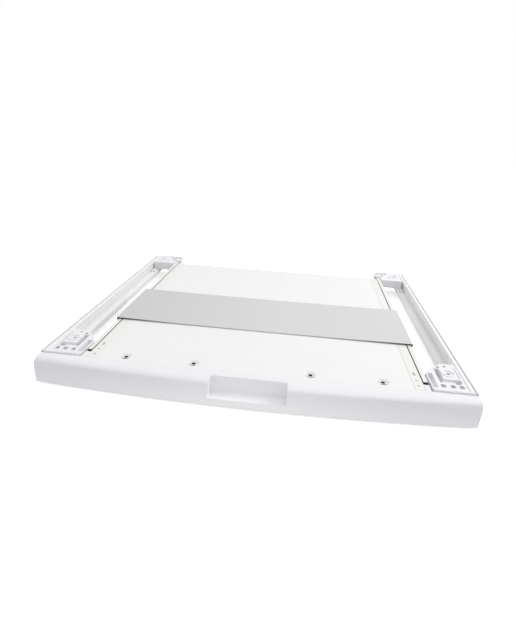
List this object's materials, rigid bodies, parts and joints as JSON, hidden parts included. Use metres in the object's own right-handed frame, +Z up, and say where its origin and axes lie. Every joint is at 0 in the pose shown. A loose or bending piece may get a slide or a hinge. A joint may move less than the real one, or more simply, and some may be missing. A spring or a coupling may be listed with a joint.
{
  "type": "appliance stacking kit",
  "caption": "Flat stacking frame that holds a dryer on a washing machine, with a pull-out shelf on roller runners.",
  "frame": {"origin": "on the ground under the middle of the closed kit's bounding box", "axes": "+X to the right across the front, +Y to the rear, +Z up"},
  "size_m": [0.597, 0.5476, 0.041],
  "materials": {
    "board": "white melamine faces, satin",
    "fascia": "white moulding, satin gloss",
    "cover": "white moulding, satin gloss",
    "corner": "white moulding, fine matt grain",
    "clip": "white nylon",
    "rail": "white powder coat",
    "runner": "cream epoxy coat",
    "plate": "galvanised sheet",
    "fixing": "zinc plated",
    "roller": "natural nylon",
    "grip": "soft white rubber"
  },
  "bodies": {
    "frame": {"right_side_cover": "cover", "left_side_cover": "cover", "front_right_corner": "corner", "front_left_corner": "corner", "rear_right_corner": "corner", "rear_left_corner": "corner", "right_rail_clip": "clip", "left_rail_clip": "clip", "right_side_rail": "rail", "left_side_rail": "rail", "right_runner_track": "runner", "left_runner_track": "runner", "cross_plate": "plate", "plate_rivets": "fixing", "track_screws": "fixing", "ledge_screws": "fixing", "front_roller_pins": "fixing", "right_grip_strip": "grip", "left_grip_strip": "grip", "front_pads": "grip"},
    "shelf": {"shelf_panel": "board", "front_fascia": "fascia", "right_shelf_runner": "runner", "left_shelf_runner": "runner", "fascia_screws": "fixing", "runner_screws": "fixing", "rear_roller_pins": "fixing"},
    "right_front_roller_body": {"right_front_roller": "roller"},
    "left_front_roller_body": {"left_front_roller": "roller"},
    "right_rear_roller_body": {"right_rear_roller": "roller"},
    "left_rear_roller_body": {"left_rear_roller": "roller"}
  },
  "joints": [
    {"name": "shelf_slide", "type": "slide", "parent": "frame", "child": "shelf", "axis": [0, -1, 0], "range_m": [0, 0.34]},
    {"name": "right_front_roller_spin", "type": "hinge", "parent": "frame", "child": "right_front_roller_body", "pos_m": [0.2252, -0.20625, 0.0295], "axis": [1, 0, 0], "continuous": true},
    {"name": "right_rear_roller_spin", "type": "hinge", "parent": "shelf", "child": "right_rear_roller_body", "pos_m": [0.2288, 0.21375, 0.0293], "axis": [1, 0, 0], "continuous": true},
    {"name": "left_front_roller_spin", "type": "hinge", "parent": "frame", "child": "left_front_roller_body", "pos_m": [-0.2252, -0.20625, 0.0295], "axis": [1, 0, 0], "continuous": true},
    {"name": "left_rear_roller_spin", "type": "hinge", "parent": "shelf", "child": "left_rear_roller_body", "pos_m": [-0.2288, 0.21375, 0.0293], "axis": [1, 0, 0], "continuous": true}
  ],
  "couplings": [
    {"joint": "right_front_roller_spin", "follows": "shelf_slide", "rad_per_m": 142.86},
    {"joint": "right_rear_roller_spin", "follows": "shelf_slide", "rad_per_m": 142.86},
    {"joint": "left_front_roller_spin", "follows": "shelf_slide", "rad_per_m": 142.86},
    {"joint": "left_rear_roller_spin", "follows": "shelf_slide", "rad_per_m": 142.86}
  ]
}
